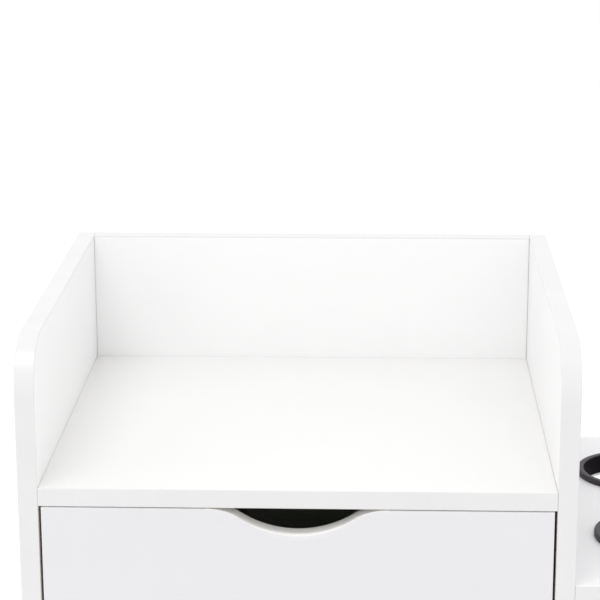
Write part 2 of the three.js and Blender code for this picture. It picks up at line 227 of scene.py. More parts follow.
def edgeTape(name, colour):  # extruded PVC tape, smoother than the foil
    paint = Paint(name, IOR=1.5)
    lines = paint.noise(0.0012, 2, 0.5, stretch=(1, 1, 0.02))
    cloud = paint.noise(0.04, 2, 0.5)
    paint.colour(paint.mix(paint.between(cloud, 0.3, 0.7), tinted(colour, 0.97), colour))
    paint.rough(0.24 + lines * 0.12)
    paint.bump(lines, 0.00002, 0.5)
    return paint.material


def scoopLacquer(name, colour):  # the sealed cut of a routed edge
    paint = Paint(name, IOR=1.48)
    fibres = paint.noise(0.0016, 5, 0.65, stretch=(1, 0.25, 1))
    specks = paint.cells(0.0011)
    tone = paint.mix(paint.between(fibres, 0.35, 0.7), tinted(colour, 0.96), colour)
    paint.colour(paint.mix(paint.between(specks, 0.0, 0.5, 0.2, 0), tone, tinted(colour, 0.85)))
    paint.rough(0.5 + fibres * 0.15)
    paint.bump(fibres, 0.00008, 0.6)
    return paint.material


def fibreboard(name, colour):  # painted hardboard, with its fibres and screen marks
    paint = Paint(name, IOR=1.46)
    fibres = paint.noise(0.002, 6, 0.7, stretch=(1, 1, 0.3))
    cloud = paint.noise(0.09, 4, 0.6)
    tone = paint.mix(paint.between(cloud, 0.3, 0.7), tinted(colour, 0.96), colour)
    paint.colour(paint.mix(paint.between(fibres, 0.45, 0.8) * 0.5, tone, tinted(colour, 0.9)))
    paint.rough(0.55 + fibres * 0.2)
    paint.bump(fibres, 0.0001, 0.5)
    return paint.material


def mouldedPlastic(name, colour, gloss=0.42, spark=0.0006, **fixed):  # spark-eroded mould grain
    paint = Paint(name, IOR=1.5, **fixed)
    grain = paint.cells(spark, "SMOOTH_F1")
    cloud = paint.noise(0.02, 4, 0.6)
    dust = paint.between(paint.noise(0.006, 5, 0.65), 0.55, 0.8) * 0.35
    tone = paint.mix(paint.between(cloud, 0.3, 0.7), tinted(colour, 0.85), tinted(colour, 1.15))
    paint.colour(paint.mix(dust, tone, tinted(colour, 2.2)))
    paint.rough(gloss + grain * 0.12 + dust * 0.3)
    paint.bump(grain, 0.00004, 0.6)
    return paint.material


def treadRubber(name, colour):
    paint = Paint(name, IOR=1.5)
    grain = paint.noise(0.0009, 4, 0.6)
    scuffs = paint.between(paint.noise(0.008, 5, 0.7), 0.5, 0.75)
    tone = paint.mix(scuffs * 0.5, colour, tinted(colour, 3.0))
    paint.colour(paint.mix(paint.between(grain, 0.4, 0.7) * 0.4, tone, tinted(colour, 0.6)))
    paint.rough(0.66 + scuffs * 0.2)
    paint.bump(grain, 0.00008, 0.7)
    return paint.material


def zincPlate(name, colour, roll=(1, 0.04, 1)):  # bright plating on rolled sheet
    paint = Paint(name, Metallic=1.0)
    lines = paint.noise(0.0007, 3, 0.6, stretch=roll)
    cloud = paint.noise(0.015, 5, 0.65)
    blush = paint.noise(0.03, 3, 0.5)
    tone = paint.mix(paint.between(cloud, 0.3, 0.7), tinted(colour, 0.82), tinted(colour, 1.08))
    warm = (colour[0] * 1.04, colour[1], colour[2] * 0.9)
    paint.colour(paint.mix(paint.between(blush, 0.5, 0.7) * 0.6, tone, warm))
    paint.rough(0.24 + paint.between(cloud, 0.3, 0.8, 0, 0.16) + lines * 0.1)
    paint.bump(lines, 0.00003, 0.5)
    return paint.material


def powderCoat(name, colour):  # orange-peel paint on steel
    paint = Paint(name, IOR=1.5, Coat_Weight=0.25, Coat_Roughness=0.2)
    peel = paint.noise(0.0016, 2, 0.5)
    cloud = paint.noise(0.03, 3, 0.5)
    paint.colour(paint.mix(paint.between(cloud, 0.3, 0.7), tinted(colour, 0.96), colour))
    paint.rough(0.32 + peel * 0.12)
    paint.bump(peel, 0.00008, 0.6)
    return paint.material


def polishedSteel(name, colour):
    paint = Paint(name, Metallic=1.0)
    haze = paint.noise(0.002, 4, 0.6)
    paint.colour(paint.mix(paint.between(haze, 0.4, 0.7), tinted(colour, 0.9), colour))
    paint.rough(0.1 + haze * 0.14)
    paint.bump(haze, 0.00001, 0.4)
    return paint.material


finishes = {
    # the white melamine is one finish; the darker copies below are painted shade, their brightness set per
    # surface for the light each gets
    "whiteFoil": melamine("whiteFoil", (0.91, 0.91, 0.91)),
    # a darker copy of the white melamine for outer faces and undersides: painted shade
    "shadedOuterFoil": melamine("shadedOuterFoil", (0.755, 0.755, 0.76)),
    "edgeCore": scoopLacquer("edgeCore", (0.66, 0.59, 0.51)),
    # a darker copy of the white melamine for the shelf: painted shade
    "shadedShelfFoil": melamine("shadedShelfFoil", (0.825, 0.82, 0.815)),
    # a darker copy of the white melamine for the holder board: painted shade
    "shadedHolderFoil": melamine("shadedHolderFoil", (0.86, 0.86, 0.87)),
    # a darker, cooler copy of the white melamine for the drawer fronts: painted shade
    "shadedFrontFoil": melamine("shadedFrontFoil", (0.73, 0.73, 0.75)),
    "whiteTape": edgeTape("whiteTape", (0.755, 0.748, 0.748)),
    # the cut's warm off-white tone is its own, but it is set lighter than the foils: painted light on a cut
    # in the shelf's shade
    "scoopLacquer": scoopLacquer("scoopLacquer", (0.93, 0.915, 0.88)),
    "whiteFibreboard": fibreboard("whiteFibreboard", (0.74, 0.735, 0.72)),
    "boxFoil": melamine("boxFoil", (0.86, 0.84, 0.80)),
    "boxTape": edgeTape("boxTape", (0.80, 0.78, 0.75)),
    "ringPlastic": mouldedPlastic("ringPlastic", (0.018, 0.013, 0.020), 0.42),
    # a darker, less reflective copy of the ring plastic for the bore's wall: painted shade
    "shadedBorePlastic": mouldedPlastic("shadedBorePlastic", (0.005, 0.003, 0.005), 0.6, Specular_IOR_Level=0.08),
    "hubPlastic": mouldedPlastic("hubPlastic", (0.035, 0.035, 0.037), 0.45),
    "pedalPlastic": mouldedPlastic("pedalPlastic", (0.018, 0.018, 0.02), 0.38),
    "capPlastic": mouldedPlastic("capPlastic", (0.76, 0.76, 0.75), 0.45, 0.0008),
    "treadRubber": treadRubber("treadRubber", (0.014, 0.014, 0.015)),
    "railZinc": zincPlate("railZinc", (0.62, 0.63, 0.65)),
    "castorZinc": zincPlate("castorZinc", (0.6, 0.61, 0.62), (1, 1, 1)),
    "bracketPaint": powderCoat("bracketPaint", (0.78, 0.78, 0.775)),
    "ballSteel": polishedSteel("ballSteel", (0.72, 0.72, 0.73)),
}
print("finishes made:", len(finishes))


# mesh tools


def sharpEdges(bm, degrees=30):
    found = [e for e in bm.edges if len(e.link_faces) == 2]
    return [e for e in found if e.calc_face_angle(0) > math.radians(degrees)]


def soften(bm, radius, segments=2, edges=None):
    bmesh.ops.bevel(
        bm,
        geom=sharpEdges(bm) if edges is None else edges,
        offset=radius,
        segments=segments,
        profile=0.5,
        affect="EDGES",
        clamp_overlap=True,
        material=-1,
    )


def roundCorners(bm, verts, radius, segments):  # of a flat outline
    bmesh.ops.bevel(
        bm,
        geom=verts,
        offset=radius,
        segments=segments,
        profile=0.5,
        affect="VERTICES",
        clamp_overlap=True,
        material=-1,
    )


def addBox(bm, low, high):
    low, high = Vector(low), Vector(high)
    made = bmesh.ops.create_cube(bm, size=1)["verts"]
    bmesh.ops.scale(bm, vec=high - low, verts=made)
    bmesh.ops.translate(bm, vec=(low + high) / 2, verts=made)


def addOutline(bm, points):  # a closed flat face through these points
    return bm.faces.new([bm.verts.new(p) for p in points])


def thicken(bm, faces, along):
    grown = bmesh.ops.extrude_face_region(bm, geom=faces)["geom"]
    moved = [v for v in grown if isinstance(v, bmesh.types.BMVert)]
    bmesh.ops.translate(bm, vec=along, verts=moved)
    bmesh.ops.recalc_face_normals(bm, faces=bm.faces)


def addSpun(bm, profile, centre, axis, out, steps=48, rounding=()):
    # profile: (distance from the axis, height along it); rounding: (point number, radius)
    draft = bmesh.new()
    verts = [draft.verts.new(Vector(out) * r + Vector(axis) * h) for r, h in profile]
    for a, b in zip(verts, verts[1:]):
        draft.edges.new((a, b))
    if profile[0][0] > 1e-7:
        draft.edges.new((verts[-1], verts[0]))
    for number, radius in rounding:
        roundCorners(draft, [verts[number]], radius, 3)
    bmesh.ops.spin(
        draft,
        geom=draft.verts[:] + draft.edges[:],
        cent=(0, 0, 0),
        axis=axis,
        angle=2 * math.pi,
        steps=steps,
        use_merge=True,
    )
    bmesh.ops.remove_doubles(draft, verts=draft.verts, dist=1e-6)
    bmesh.ops.recalc_face_normals(draft, faces=draft.faces)
    bmesh.ops.translate(draft, vec=centre, verts=draft.verts)
    joinInto(bm, draft)


def joinInto(bm, draft, matrix=None):
    if matrix is not None:
        draft.transform(matrix)
    part = keptMesh(draft, "part")
    bm.from_mesh(part)
    bpy.data.meshes.remove(part)


def nodeCopy(node, radius):  # a CAD node's shape with its edges broken
    bm = bmesh.new()
    bm.from_mesh(nodes[node].data)
    bmesh.ops.remove_doubles(bm, verts=bm.verts, dist=2e-6)
    bmesh.ops.dissolve_limit(bm, angle_limit=math.radians(1), verts=bm.verts, edges=bm.edges)
    soften(bm, radius)
    return bm


def keptMesh(bm, name):
    mesh = bpy.data.meshes.new(name)
    bm.to_mesh(mesh)
    bm.free()
    return mesh


def weighNormals(piece):  # broad faces stay flat beside their rounded edges
    shading = piece.modifiers.new("weighted", "WEIGHTED_NORMAL")
    shading.keep_sharp = True
    shading.weight = 80


def finishPiece(bm, name, body, materials, standsFor=(), smooth=38, weighted=True):
    mesh = keptMesh(bm, name)
    piece = bpy.data.objects.new(name, mesh)
    scene.collection.objects.link(piece)
    for material in materials:
        mesh.materials.append(finishes[material])
    mesh.shade_smooth()
    mesh.set_sharp_from_angle(angle=math.radians(smooth))
    if weighted:
        weighNormals(piece)
    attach(piece, body)
    if standsFor:
        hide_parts(*standsFor)
    return piece


# boards

boards = {
    "edgeRound": 0.0006,
    "tapeWidth": 0.0009,
    "joint": 0.00003,  # what is left open between two boards
    "openJoint": 0.00012,  # the same along the right-hand panel
    "jointRound": 0.00013,
    "shelfRise": 0.0009,  # the shelf is a little thinner than the other boards
    "backPlay": 0.0003,  # left at each side of the thin back
}


def weighEdges(bm, share):  # share: how much of the full rounding an edge gets
    weights = bm.edges.layers.float.new("bevel_weight_edge")
    for edge in sharpEdges(bm):
        edge[weights] = share(edge)


def addRounding(piece, width, segments=2, clamped=True):
    rounding = piece.modifiers.new("rounding", "BEVEL")
    rounding.limit_method = "WEIGHT"
    rounding.use_clamp_overlap = clamped
    rounding.width = width
    rounding.segments = segments
    rounding.material = -1
    weighNormals(piece)


def tapeEdges(bm, axis):  # foil on the two broad faces, tape on all the rest
    broad = [f for f in bm.faces if abs(f.normal.dot(axis)) > 0.999]
    widest = max(f.calc_area() for f in broad)
    broad = [f for f in broad if f.calc_area() > widest * 0.2]
    for face in bm.faces:
        face.material_index = 1
    bmesh.ops.inset_individual(bm, faces=broad, thickness=boards["tapeWidth"], use_even_offset=True)
    for face in broad:
        face.material_index = 0


def outerFace(bm, way):  # the darker copy of the foil, painted shade, that shows on the outside of the cabinet
    for face in bm.faces:
        if face.normal.dot(way) > 0.999 and face.material_index == 0:
            face.material_index = 2


def finishBoard(bm, node, materials, pressed=()):
    def share(edge):  # pressed: the ways in which a neighbour touches the board
        touching = any(face.normal.dot(way) > 0.9 for face in edge.link_faces for way in pressed)
        return boards["jointRound"] / boards["edgeRound"] if touching else 1.0

    weighEdges(bm, share)
    name = node if node.endswith("board") else f"{node}_board"
    piece = finishPiece(bm, f"{name}_faced", bodyOf[node], materials, [node], weighted=False)
    addRounding(piece, boards["edgeRound"])


sidePanel = {"cornerRadius": 0.042, "cornerSteps": 20}


def sidePanelBoard(node):
    low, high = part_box(node)
    bm = bmesh.new()
    ends = [(low.y, low.z), (high.y, low.z), (high.y, high.z), (low.y, high.z)]
    face = addOutline(bm, [(low.x, y, z) for y, z in ends])
    roundCorners(bm, [face.verts[3]], sidePanel["cornerRadius"], sidePanel["cornerSteps"])
    thicken(bm, bm.faces[:], Vector((high.x - low.x, 0, 0)))
    tapeEdges(bm, axisX)
    outerFace(bm, axisX if low.x > middleX else -axisX)
    finishBoard(bm, node, ["whiteFoil", "whiteTape", "shadedOuterFoil"])


def crossBoard(node, axis, pressed=(), deeper=0.0, rise=0.0, foil="whiteFoil"):
    low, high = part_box(node)
    low.x = leftInner + boards["joint"]
    high.x = rightInner - boards["openJoint"]
    low.z += rise
    high.y += deeper
    bm = bmesh.new()
    addBox(bm, low, high)
    tapeEdges(bm, axis)
    outerFace(bm, axisY)
    outerFace(bm, -axisZ)
    for face in bm.faces:
        if abs(face.normal.x) > 0.99:
            face.material_index = 3  # the bare ends, against the side panels
    skins = [foil, "whiteTape", "shadedOuterFoil", "edgeCore"]
    finishBoard(bm, node, skins, (axisX, -axisX, *pressed))


def backPanel():
    low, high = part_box("back_panel")
    low.x = leftInner + boards["backPlay"]
    high.x = rightInner - boards["backPlay"]
    bm = bmesh.new()
    addBox(bm, low, high)
    finishBoard(bm, "back_panel", ["whiteFibreboard"])


holder = {"corner": 0.018, "cornerSteps": 12, "hole": 0.0421, "holeSteps": 96}


def holderBoard():
    low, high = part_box("holder_board")
    low.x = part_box("side_panel_right")[1].x + boards["joint"]
    bm = bmesh.new()
    ends = [(low.x, low.y), (high.x, low.y), (high.x, high.y), (low.x, high.y)]
    face = addOutline(bm, [(x, y, low.z) for x, y in ends])
    roundCorners(bm, [face.verts[1], face.verts[2]], holder["corner"], holder["cornerSteps"])
    for ring in ("front", "rear"):
        ringLow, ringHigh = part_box(f"dryer_ring_{ring}")
        centre = (ringLow + ringHigh) / 2
        centre.z = low.z
        place = Matrix.Translation(centre)
        bmesh.ops.create_circle(bm, segments=holder["holeSteps"], radius=holder["hole"], matrix=place)
    bm.faces.remove(bm.faces[:][0])
    bmesh.ops.triangle_fill(bm, use_beauty=True, edges=bm.edges[:])
    bmesh.ops.dissolve_limit(bm, angle_limit=0.01, verts=bm.verts, edges=bm.edges)
    thicken(bm, bm.faces[:], Vector((0, 0, high.z - low.z)))
    for face in bm.faces:
        face.material_index = 0 if abs(face.normal.z) > 0.999 else 1
    # the board's top takes the darker copy of the white foil: painted shade
    finishBoard(bm, "holder_board", ["shadedHolderFoil", "whiteTape"], [-axisX])


def addCarcass():
    for node in ("side_panel_left", "side_panel_right"):
        sidePanelBoard(node)
    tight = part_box("back_rail")[0].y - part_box("top_shelf")[1].y - boards["joint"]
    # the shelf takes the darker copy of the white foil: painted shade
    crossBoard("top_shelf", axisZ, [axisY], tight, boards["shelfRise"], "shadedShelfFoil")
    crossBoard("bottom_board", axisZ)
    crossBoard("back_rail", axisY)
    backPanel()
    holderBoard()
    print("carcass boards made")


# dryer rings and the brackets under their board

ringSizes = {
    "bore": 0.0401,
    "flange": 0.0458,
    "sleeve": 0.0417,
    "seat": 0.0002,  # between the flange and the board
    "outerRound": 0.0016,
    "innerRound": 0.00128,
    "footRounds": (0.0005, 0.0004),
    "brim": 0.0003,
    "steps": 128,
}


def addRing(node):
    low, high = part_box(node)
    top = high.z
    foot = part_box("holder_board")[1].z + ringSizes["seat"]
    bore, flange, sleeve = ringSizes["bore"], ringSizes["flange"], ringSizes["sleeve"]
    profile = [
        (bore, low.z),
        (sleeve, low.z),
        (sleeve, foot),
        (flange, foot),
        (flange, top),
        (bore, top),
    ]
    rounding = [
        (0, ringSizes["footRounds"][0]),
        (1, ringSizes["footRounds"][1]),
        (3, ringSizes["brim"]),
        (4, ringSizes["outerRound"]),
        (5, ringSizes["innerRound"]),
    ]
    centre = ((low.x + high.x) / 2, (low.y + high.y) / 2, 0)
    bm = bmesh.new()
    addSpun(bm, profile, centre, axisZ, axisX, ringSizes["steps"], rounding)
    for face in bm.faces:  # the bore's wall takes a darker, less reflective copy of the plastic: painted shade in the bore
        reach = (face.calc_center_median() - Vector(centre)).to_2d().length
        face.material_index = 1 if reach < bore + 0.0001 else 0
    skins = ["ringPlastic", "shadedBorePlastic"]
    finishPiece(bm, f"{node}_moulding", "carcass", skins, [node])


bracketSizes = {
    "steel": 0.0025,
    "bend": 0.005,
    "tip": 0.008,
    "edgeRound": 0.0003,
    "roundSteps": 6,
    "screwDrops": (0.028, 0.062),
    "screwReaches": (0.035, 0.095),
}


def addBracket(node):
    low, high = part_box(node)
    bm = bmesh.new()
    bend = [(low.x, low.y, high.z), (low.x, high.y, high.z)]
    leg = addOutline(bm, [(low.x, low.y, low.z), (low.x, high.y, low.z), bend[1], bend[0]])
    arm = addOutline(bm, [*bend, (high.x, high.y, high.z), (high.x, low.y, high.z)])
    tips = [v for v in leg.verts if v.co.z < high.z - 0.001]
    tips += [v for v in arm.verts if v.co.x > low.x + 0.001]
    roundCorners(bm, tips, bracketSizes["tip"], bracketSizes["roundSteps"])
    bmesh.ops.remove_doubles(bm, verts=bm.verts, dist=1e-6)
    bmesh.ops.recalc_face_normals(bm, faces=bm.faces)
    corner = [e for e in bm.edges if len(e.link_faces) == 2]
    soften(bm, bracketSizes["bend"], bracketSizes["roundSteps"], corner)
    insideBend = Vector((low.x + 0.02, 0, high.z - 0.02))  # the steel grows towards this
    first = bm.faces[:][0]
    if (insideBend - first.calc_center_median()).dot(first.normal) < 0:
        bmesh.ops.reverse_faces(bm, faces=bm.faces)
    bmesh.ops.solidify(bm, geom=bm.faces[:], thickness=-bracketSizes["steel"])
    bmesh.ops.recalc_face_normals(bm, faces=bm.faces)
    soften(bm, bracketSizes["edgeRound"])
    finishPiece(bm, f"{node}_strip", "carcass", ["bracketPaint"], [node])


# screws and caps

screwSizes = {
    "small": (0.0034, 0.0018),  # radius and height
    "broad": (0.0046, 0.0021),
    "cross": 0.56,  # reach of the slot's arms and half their width, as shares of the radius
    "arm": 0.15,
    "deep": 0.6,  # share of the height
    "steps": 24,
}


def screwHead(radius, height):  # a pan head with a cross slot, seated at z 0
    bm = bmesh.new()
    reach, arm = radius * screwSizes["cross"], radius * screwSizes["arm"]
    profile = [(radius, 0), (radius, height * 0.45), (radius * 0.86, height * 0.86), (reach * 1.12, height)]
    verts = [bm.verts.new((r, 0, z)) for r, z in profile]
    edges = [bm.edges.new(pair) for pair in zip(verts, verts[1:])]
    bmesh.ops.spin(
        bm,
        geom=verts + edges,
        cent=(0, 0, 0),
        axis=axisZ,
        angle=2 * math.pi,
        steps=screwSizes["steps"],
        use_merge=True,
    )
    rim = [e for e in bm.edges if e.is_boundary and min(v.co.z for v in e.verts) > height * 0.95]
    plus = []
    for quarter in range(4):
        turn = Matrix.Rotation(quarter * math.pi / 2, 3, "Z")
        for x, y in ((reach, -arm), (reach, arm), (arm, arm)):
            plus.append(bm.verts.new(turn @ Vector((x, y, height))))
    slot = [bm.edges.new((plus[i - 1], plus[i])) for i in range(len(plus))]
    bmesh.ops.bridge_loops(bm, edges=rim + slot)
    grown = bmesh.ops.extrude_edge_only(bm, edges=slot)["geom"]
    floor = [v for v in grown if isinstance(v, bmesh.types.BMVert)]
    bmesh.ops.translate(bm, vec=(0, 0, -height * screwSizes["deep"]), verts=floor)
    bmesh.ops.scale(bm, vec=(0.8, 0.8, 1), verts=floor)
    bmesh.ops.contextual_create(bm, geom=[e for e in grown if isinstance(e, bmesh.types.BMEdge)])
    foot = [e for e in bm.edges if e.is_boundary]
    bmesh.ops.contextual_create(bm, geom=foot)
    bmesh.ops.recalc_face_normals(bm, faces=bm.faces)
    return keptMesh(bm, "screwHead")


def addHeads(name, body, head, seats, material):  # seats: (point, way out of the surface)
    bm = bmesh.new()
    for number, (point, outward) in enumerate(seats):
        draft = bmesh.new()
        draft.from_mesh(head)
        spin = Matrix.Rotation(number * 0.7, 4, "Z")
        turn = Vector(outward).to_track_quat("Z", "Y").to_matrix().to_4x4()
        joinInto(bm, draft, Matrix.Translation(point) @ turn @ spin)
    finishPiece(bm, name, body, [material], weighted=False)


smallHead = screwHead(*screwSizes["small"])
broadHead = screwHead(*screwSizes["broad"])


def capDisc(radius, height):
    bm = bmesh.new()
    profile = [(0, height), (radius * 0.9, height), (radius, height * 0.4), (radius, 0), (0, 0)]
    addSpun(bm, profile, (0, 0, 0), axisZ, axisX, 32, [(1, radius * 0.06)])
    return keptMesh(bm, "capDisc")


def addHolder():
    for ring in ("dryer_ring_front", "dryer_ring_rear"):
        addRing(ring)
    seats = []
    for end in ("front", "rear"):
        node = f"holder_bracket_{end}"
        addBracket(node)
        low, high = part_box(node)
        middleY = (low.y + high.y) / 2
        steel = bracketSizes["steel"]
        for drop in bracketSizes["screwDrops"]:
            seats.append(((low.x + steel, middleY, high.z - drop), axisX))
        for reach in bracketSizes["screwReaches"]:
            seats.append(((low.x + reach, middleY, high.z - steel), -axisZ))
    addHeads("bracket_screws", "carcass", broadHead, seats, "castorZinc")
    print("dryer rings and brackets made")


capSizes = {
    "cap": (0.0085, 0.0009),  # radius and height
    "nail": (0.0026, 0.0007),
    "railInset": 0.034,
    "railEdge": 0.03,
    "floorInset": 0.013,
    "floorEdge": 0.02,
    "nails": 6,
    "nailInset": 0.025,
    "nailEdge": 0.008,
}


def addCarcassFittings():
    sizes = capSizes
    cap, nail = capDisc(*sizes["cap"]), capDisc(*sizes["nail"])
    railLow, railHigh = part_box("back_rail")
    seats = []
    for x in (leftInner + sizes["railInset"], rightInner - sizes["railInset"]):
        for z in (railLow.z + sizes["railEdge"], railHigh.z - sizes["railEdge"]):
            seats.append(((x, railHigh.y, z), axisY))
    addHeads("back_rail_cam_caps", "carcass", cap, seats, "capPlastic")
    floorLow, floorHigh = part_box("bottom_board")
    seats = []
    for x in (leftInner + sizes["floorInset"], rightInner - sizes["floorInset"]):
        for y in (floorLow.y + sizes["floorEdge"], floorHigh.y - sizes["floorEdge"]):
            seats.append(((x, y, floorLow.z), -axisZ))
    addHeads("bottom_board_cam_caps", "carcass", cap, seats, "capPlastic")
    backLow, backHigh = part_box("back_panel")
    seats = []
    span = rightInner - leftInner - 2 * sizes["nailInset"]
    for i in range(sizes["nails"]):
        x = leftInner + sizes["nailInset"] + span * i / (sizes["nails"] - 1)
        seats.append(((x, backHigh.y, backLow.z + sizes["nailEdge"]), axisY))
    addHeads("back_panel_nails", "carcass", nail, seats, "castorZinc")
    print("caps and nails set")


# drawers

drawerFront = {
    "gapAbove": 0.0008,
    "topRound": 0.0015,
    "scoopDepth": 0.02045,
    "bowl": 0.0785,
    "shoulder": 0.0484,
    "steps": 36,
    "scoopRound": 0.0044,
    "roundEnds": 0.55,  # where the scoop's broad rounding has faded out, as a share of its half width
    "shoulderRound": 0.0010,
    "shoulderStarts": 0.8,
    "edgeRound": 0.0006,
    "roundSteps": 4,
}


def arcOn(bm, start, centre, angle, steps):  # an arc in the front's plane, from a point that is there
    made = bmesh.ops.spin(
        bm, geom=[start], cent=centre, axis=axisY, angle=angle, steps=steps, use_merge=False
    )
    return [v for v in made["geom_last"] if isinstance(v, bmesh.types.BMVert)][0]


def drawerFrontBoard(node):
    low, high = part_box(node)
    sizes = drawerFront
    lids = [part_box(f"drawer_{n}_front")[0].z for n in drawerNames]
    lids.append(shelfLow.z + boards["shelfRise"])
    high.z = min(z for z in lids if z > high.z) - sizes["gapAbove"]
    centreX = (low.x + high.x) / 2
    radii = sizes["bowl"] + sizes["shoulder"]
    half = math.sqrt(radii**2 - (radii - sizes["scoopDepth"]) ** 2)
    tilt = math.asin(half / radii)
    y = low.y
    bm = bmesh.new()
    start = bm.verts.new((centreX + half, y, high.z))
    shoulderZ = high.z - sizes["shoulder"]
    bowlZ = high.z - sizes["scoopDepth"] + sizes["bowl"]
    steps = sizes["steps"]
    turn = arcOn(bm, start, (centreX + half, y, shoulderZ), -tilt, steps // 2)
    turn = arcOn(bm, turn, (centreX, y, bowlZ), 2 * tilt, steps)
    end = arcOn(bm, turn, (centreX - half, y, shoulderZ), -tilt, steps // 2)
    corners = [(low.x, high.z), (low.x, low.z), (high.x, low.z), (high.x, high.z)]
    path = [end] + [bm.verts.new((x, y, z)) for x, z in corners] + [start]
    for a, b in zip(path, path[1:]):
        bm.edges.new((a, b))
    bmesh.ops.contextual_create(bm, geom=bm.edges[:])
    thicken(bm, bm.faces[:], Vector((0, high.y - low.y, 0)))
    plain = sizes["edgeRound"] / sizes["scoopRound"]
    upper = sizes["topRound"] / sizes["scoopRound"]
    gentle = sizes["shoulderRound"] / sizes["scoopRound"]

    def share(edge):  # the front edge of the scoop is rounded most at its middle
        middle = (edge.verts[0].co + edge.verts[1].co) / 2
        along = abs(middle.x - centreX) / half
        if middle.z < high.z - sizes["scoopDepth"] - 1e-4 or middle.y > low.y + 1e-5:
            return plain
        shoulder = sizes["shoulderStarts"]
        if along > shoulder:
            return gentle + (upper - gentle) * min(1, (along - shoulder) / (1 - shoulder))
        return gentle + (1 - gentle) * (1 - min(1, along / sizes["roundEnds"]) ** 2)

    weighEdges(bm, share)
    for face in bm.faces:
        centre = face.calc_center_median()
        inScoop = abs(centre.x - centreX) < half and abs(face.normal.y) < 0.1 and centre.z > low.z + 0.01
        face.material_index = 2 if inScoop else (0 if abs(face.normal.y) > 0.9 else 1)
        if abs(face.normal.x) > 0.99:
            face.material_index = 3  # the sides, beside the cabinet's panels
    # the front's foil is the darker copy of the white melamine: painted shade; the scoop's lacquer is set
    # lighter: painted light
    skins = ["shadedFrontFoil", "whiteTape", "scoopLacquer", "edgeCore"]
    piece = finishPiece(bm, f"{node}_faced", bodyOf[node], skins, [node], weighted=False)
    addRounding(piece, sizes["scoopRound"], sizes["roundSteps"], clamped=False)


boxSizes = {"edgeRound": 0.0005, "lowScrew": 0.035, "highScrew": 0.03}


def addDrawerBox(name):
    body = f"drawer_{name}"
    for part in ("side_left", "side_right", "back", "bottom"):
        node = f"{body}_{part}"
        bm = nodeCopy(node, boxSizes["edgeRound"])
        if part != "bottom":
            tapeEdges(bm, axisY if part == "back" else axisX)
        finishPiece(bm, f"{node}_board", body, ["boxFoil", "boxTape"], [node])
    backLow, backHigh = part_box(f"{body}_back")
    seats = []
    for side, outward in (("left", -axisX), ("right", axisX)):
        low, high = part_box(f"{body}_side_{side}")
        x = low.x if side == "left" else high.x
        for z in (low.z + boxSizes["lowScrew"], high.z - boxSizes["highScrew"]):
            seats.append(((x, (backLow.y + backHigh.y) / 2, z), outward))
    addHeads(f"{body}_back_screws", body, broadHead, seats, "castorZinc")


railSizes = {
    "edgeRound": 0.00035,
    "web": 0.0012,  # the sheet's thickness
    "screws": (0.035, 0.165, 0.265),
    "raceHeight": 0.0144,  # of the balls' rows, from the rail's middle
    "raceReach": 0.0061,
    "cageStart": 0.004,
    "cageEnd": 0.066,
    "cageWidth": 0.0044,
    "cageThick": 0.0012,
    "cageRound": 0.0002,
    "balls": 6,
    "ball": 0.00171,
    "firstBall": 0.009,
    "ballRow": 0.052,
}


def addBallCages(fixed, low, raceX, middleZ):
    sizes = railSizes
    cages = bmesh.new()
    balls = bmesh.new()
    reach, thick = sizes["cageWidth"] / 2, sizes["cageThick"] / 2
    for up in (-1, 1):
        z = middleZ + up * sizes["raceHeight"]
        start = (raceX - reach, low.y + sizes["cageStart"], z - thick)
        end = (raceX + reach, low.y + sizes["cageEnd"], z + thick)
        addBox(cages, start, end)
        for i in range(sizes["balls"]):
            y = low.y + sizes["firstBall"] + i * sizes["ballRow"] / (sizes["balls"] - 1)
            place = Matrix.Translation((raceX, y, z))
            bmesh.ops.create_icosphere(balls, subdivisions=2, radius=sizes["ball"], matrix=place)
    soften(cages, sizes["cageRound"], 1)
    finishPiece(cages, f"{fixed}_ball_cage", "carcass", ["pedalPlastic"])
    finishPiece(balls, f"{fixed}_balls", "carcass", ["ballSteel"], weighted=False, smooth=80)


def addRails(name):
    sizes = railSizes
    body = f"drawer_{name}"
    for side, inward in (("left", 1), ("right", -1)):
        fixed, moving = f"cabinet_rail_{name}_{side}", f"{body}_rail_{side}"
        for node, owner in ((fixed, "carcass"), (moving, body)):
            bm = nodeCopy(node, sizes["edgeRound"])
            finishPiece(bm, f"{node}_channel", owner, ["railZinc"], [node])
        low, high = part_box(fixed)
        movingLow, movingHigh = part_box(moving)
        middleZ = (low.z + high.z) / 2
        wallX = low.x if inward > 0 else high.x
        drawerX = movingHigh.x if inward > 0 else movingLow.x
        for rail, owner, x, way in (
            (fixed, "carcass", wallX + inward * sizes["web"], inward),
            (moving, body, drawerX - inward * sizes["web"], -inward),
        ):
            seats = [((x, low.y + y, middleZ), axisX * way) for y in sizes["screws"]]
            addHeads(f"{rail}_screws", owner, smallHead, seats, "castorZinc")
        addBallCages(fixed, low, wallX + inward * sizes["raceReach"], middleZ)


def addDrawers():
    for name in drawerNames:
        drawerFrontBoard(f"drawer_{name}_front")
        addDrawerBox(name)
        addRails(name)
        print("drawer made:", name)


# castors

wheelSizes = {
    "radius": 0.025,
    "trail": 0.020,
    "width": 0.020,
    "tread": 0.0065,
    "treadRound": 0.0034,
    "play": 0.0001,  # between the tread and the hub
    "hubWidth": 0.023,
    "boss": 0.0068,
    "axleHole": 0.0033,
    "web": 0.003,
    "rimWall": 0.0022,
    "rimInset": 0.0004,
    "edgeRound": 0.0005,
    "cornerRound": 0.0007,
    "ribs": 6,
    "ribThick": 0.0018,
    "ribInset": 0.002,  # from the wheel's side
    "ribFoot": 0.0006,  # into the boss
    "ribTop": 0.0016,  # short of the rim's outside
    "ribRound": 0.0004,
}


def castorPlace(name):
    low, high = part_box(f"castor_{name}_plate")
    return Vector(((low.x + high.x) / 2, (low.y + high.y) / 2, 0))


